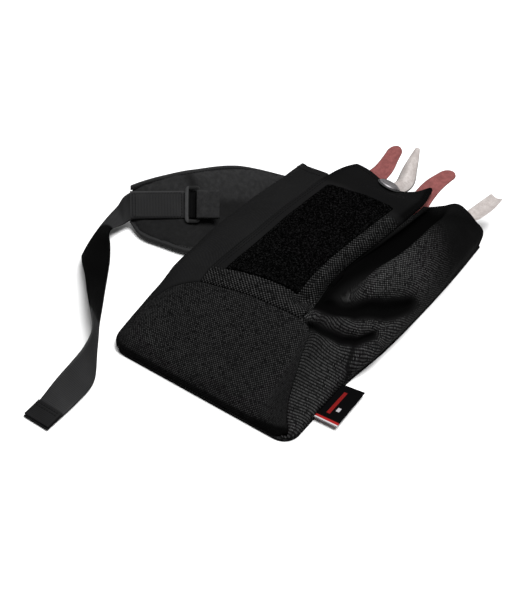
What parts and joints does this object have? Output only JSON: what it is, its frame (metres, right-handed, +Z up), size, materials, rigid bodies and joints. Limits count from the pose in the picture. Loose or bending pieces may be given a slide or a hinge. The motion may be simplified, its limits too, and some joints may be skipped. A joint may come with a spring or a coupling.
{
  "type": "climbing skin hip holster",
  "caption": "Soft black hip pouch with a padded belt wing and webbing tail, holding folded climbing skins whose red tabs and white strips stick out of the mouth.",
  "frame": {"origin": "on the flat underside of the back panel, below the middle of the pouch", "axes": "+Z up from the back panel, +Y towards the mouth, +X towards the right side wall; the belt wing is on -X"},
  "size_m": [0.3003, 0.4181, 0.0726],
  "materials": {
    "smooth_fabric": "fine plain-woven black nylon, matt",
    "coarse_fabric": "coarse basket-woven black nylon, matt",
    "lining_fabric": "thin black lining",
    "foam": "dark closed-cell foam sheet",
    "loop_pile": "black loop pile",
    "webbing": "black ribbed webbing",
    "snap_metal": "satin grey metal",
    "skin_metal": "satin metal",
    "black_plastic": "moulded black plastic",
    "woven_label": "woven black label with a plain red and white stripe",
    "red_tab": "red coated webbing",
    "white_strip": "off-white cloth strip",
    "skin_plush": "dark brown short plush",
    "skin_carrier": "pale woven carrier with adhesive"
  },
  "bodies": {
    "pouch": {"back_panel": "smooth_fabric", "back_foam": "foam", "back_lining": "lining_fabric", "toe_cap": "smooth_fabric", "left_gusset": "smooth_fabric", "front_panel": "coarse_fabric", "right_gusset": "coarse_fabric", "left_hem": "smooth_fabric", "front_hem": "coarse_fabric", "right_hem": "coarse_fabric", "loop_panel": "loop_pile", "left_seam_tape": "lining_fabric", "right_seam_tape": "lining_fabric", "toe_seam_tape": "lining_fabric", "side_label": "woven_label", "snap_cap": "snap_metal", "snap_socket": "snap_metal", "wing_anchor_tape": "webbing"},
    "closure": {"snap_strap": "webbing", "snap_stud": "snap_metal", "snap_backing": "snap_metal"},
    "wing": {"wing_cover": "smooth_fabric", "wing_foam": "foam", "wing_lining": "lining_fabric", "wing_binding_top": "webbing", "wing_binding_bottom": "webbing", "wing_webbing": "webbing", "loop_keeper": "smooth_fabric", "strap_tail": "webbing", "strap_end_fold": "webbing"},
    "loop": {"belt_loop": "black_plastic"},
    "skin_a": {"skin_a_plush": "skin_plush", "skin_a_carrier": "skin_carrier", "skin_a_tab": "red_tab", "skin_a_saver": "white_strip", "skin_a_rivet": "skin_metal", "skin_a_tip_loop": "skin_metal"},
    "skin_b": {"skin_b_plush": "skin_plush", "skin_b_carrier": "skin_carrier", "skin_b_tab": "red_tab", "skin_b_saver": "white_strip", "skin_b_rivet": "skin_metal", "skin_b_tip_loop": "skin_metal"}
  },
  "joints": [
    {"name": "skin_a_pull", "type": "slide", "parent": "pouch", "child": "skin_a", "axis": [0, 1, 0], "range_m": [0, 0.2]},
    {"name": "skin_b_pull", "type": "slide", "parent": "pouch", "child": "skin_b", "axis": [0, 1, 0], "range_m": [0, 0.2]},
    {"name": "wing_fold", "type": "hinge", "parent": "pouch", "child": "wing", "pos_m": [-0.0945, 0.07, 0.004], "axis": [0, 1, 0], "range_deg": [-50, 32]},
    {"name": "loop_flip", "type": "hinge", "parent": "wing", "child": "loop", "pos_m": [-0.12334, 0.01945, 0.03052], "axis": [-0.3905, 0.5555, 0.7341], "range_deg": [0, 60]},
    {"name": "closure_swing", "type": "hinge", "parent": "pouch", "child": "closure", "pos_m": [0.013, 0.115, 0.0098], "axis": [1, 0, 0], "range_deg": [0, 60]}
  ]
}
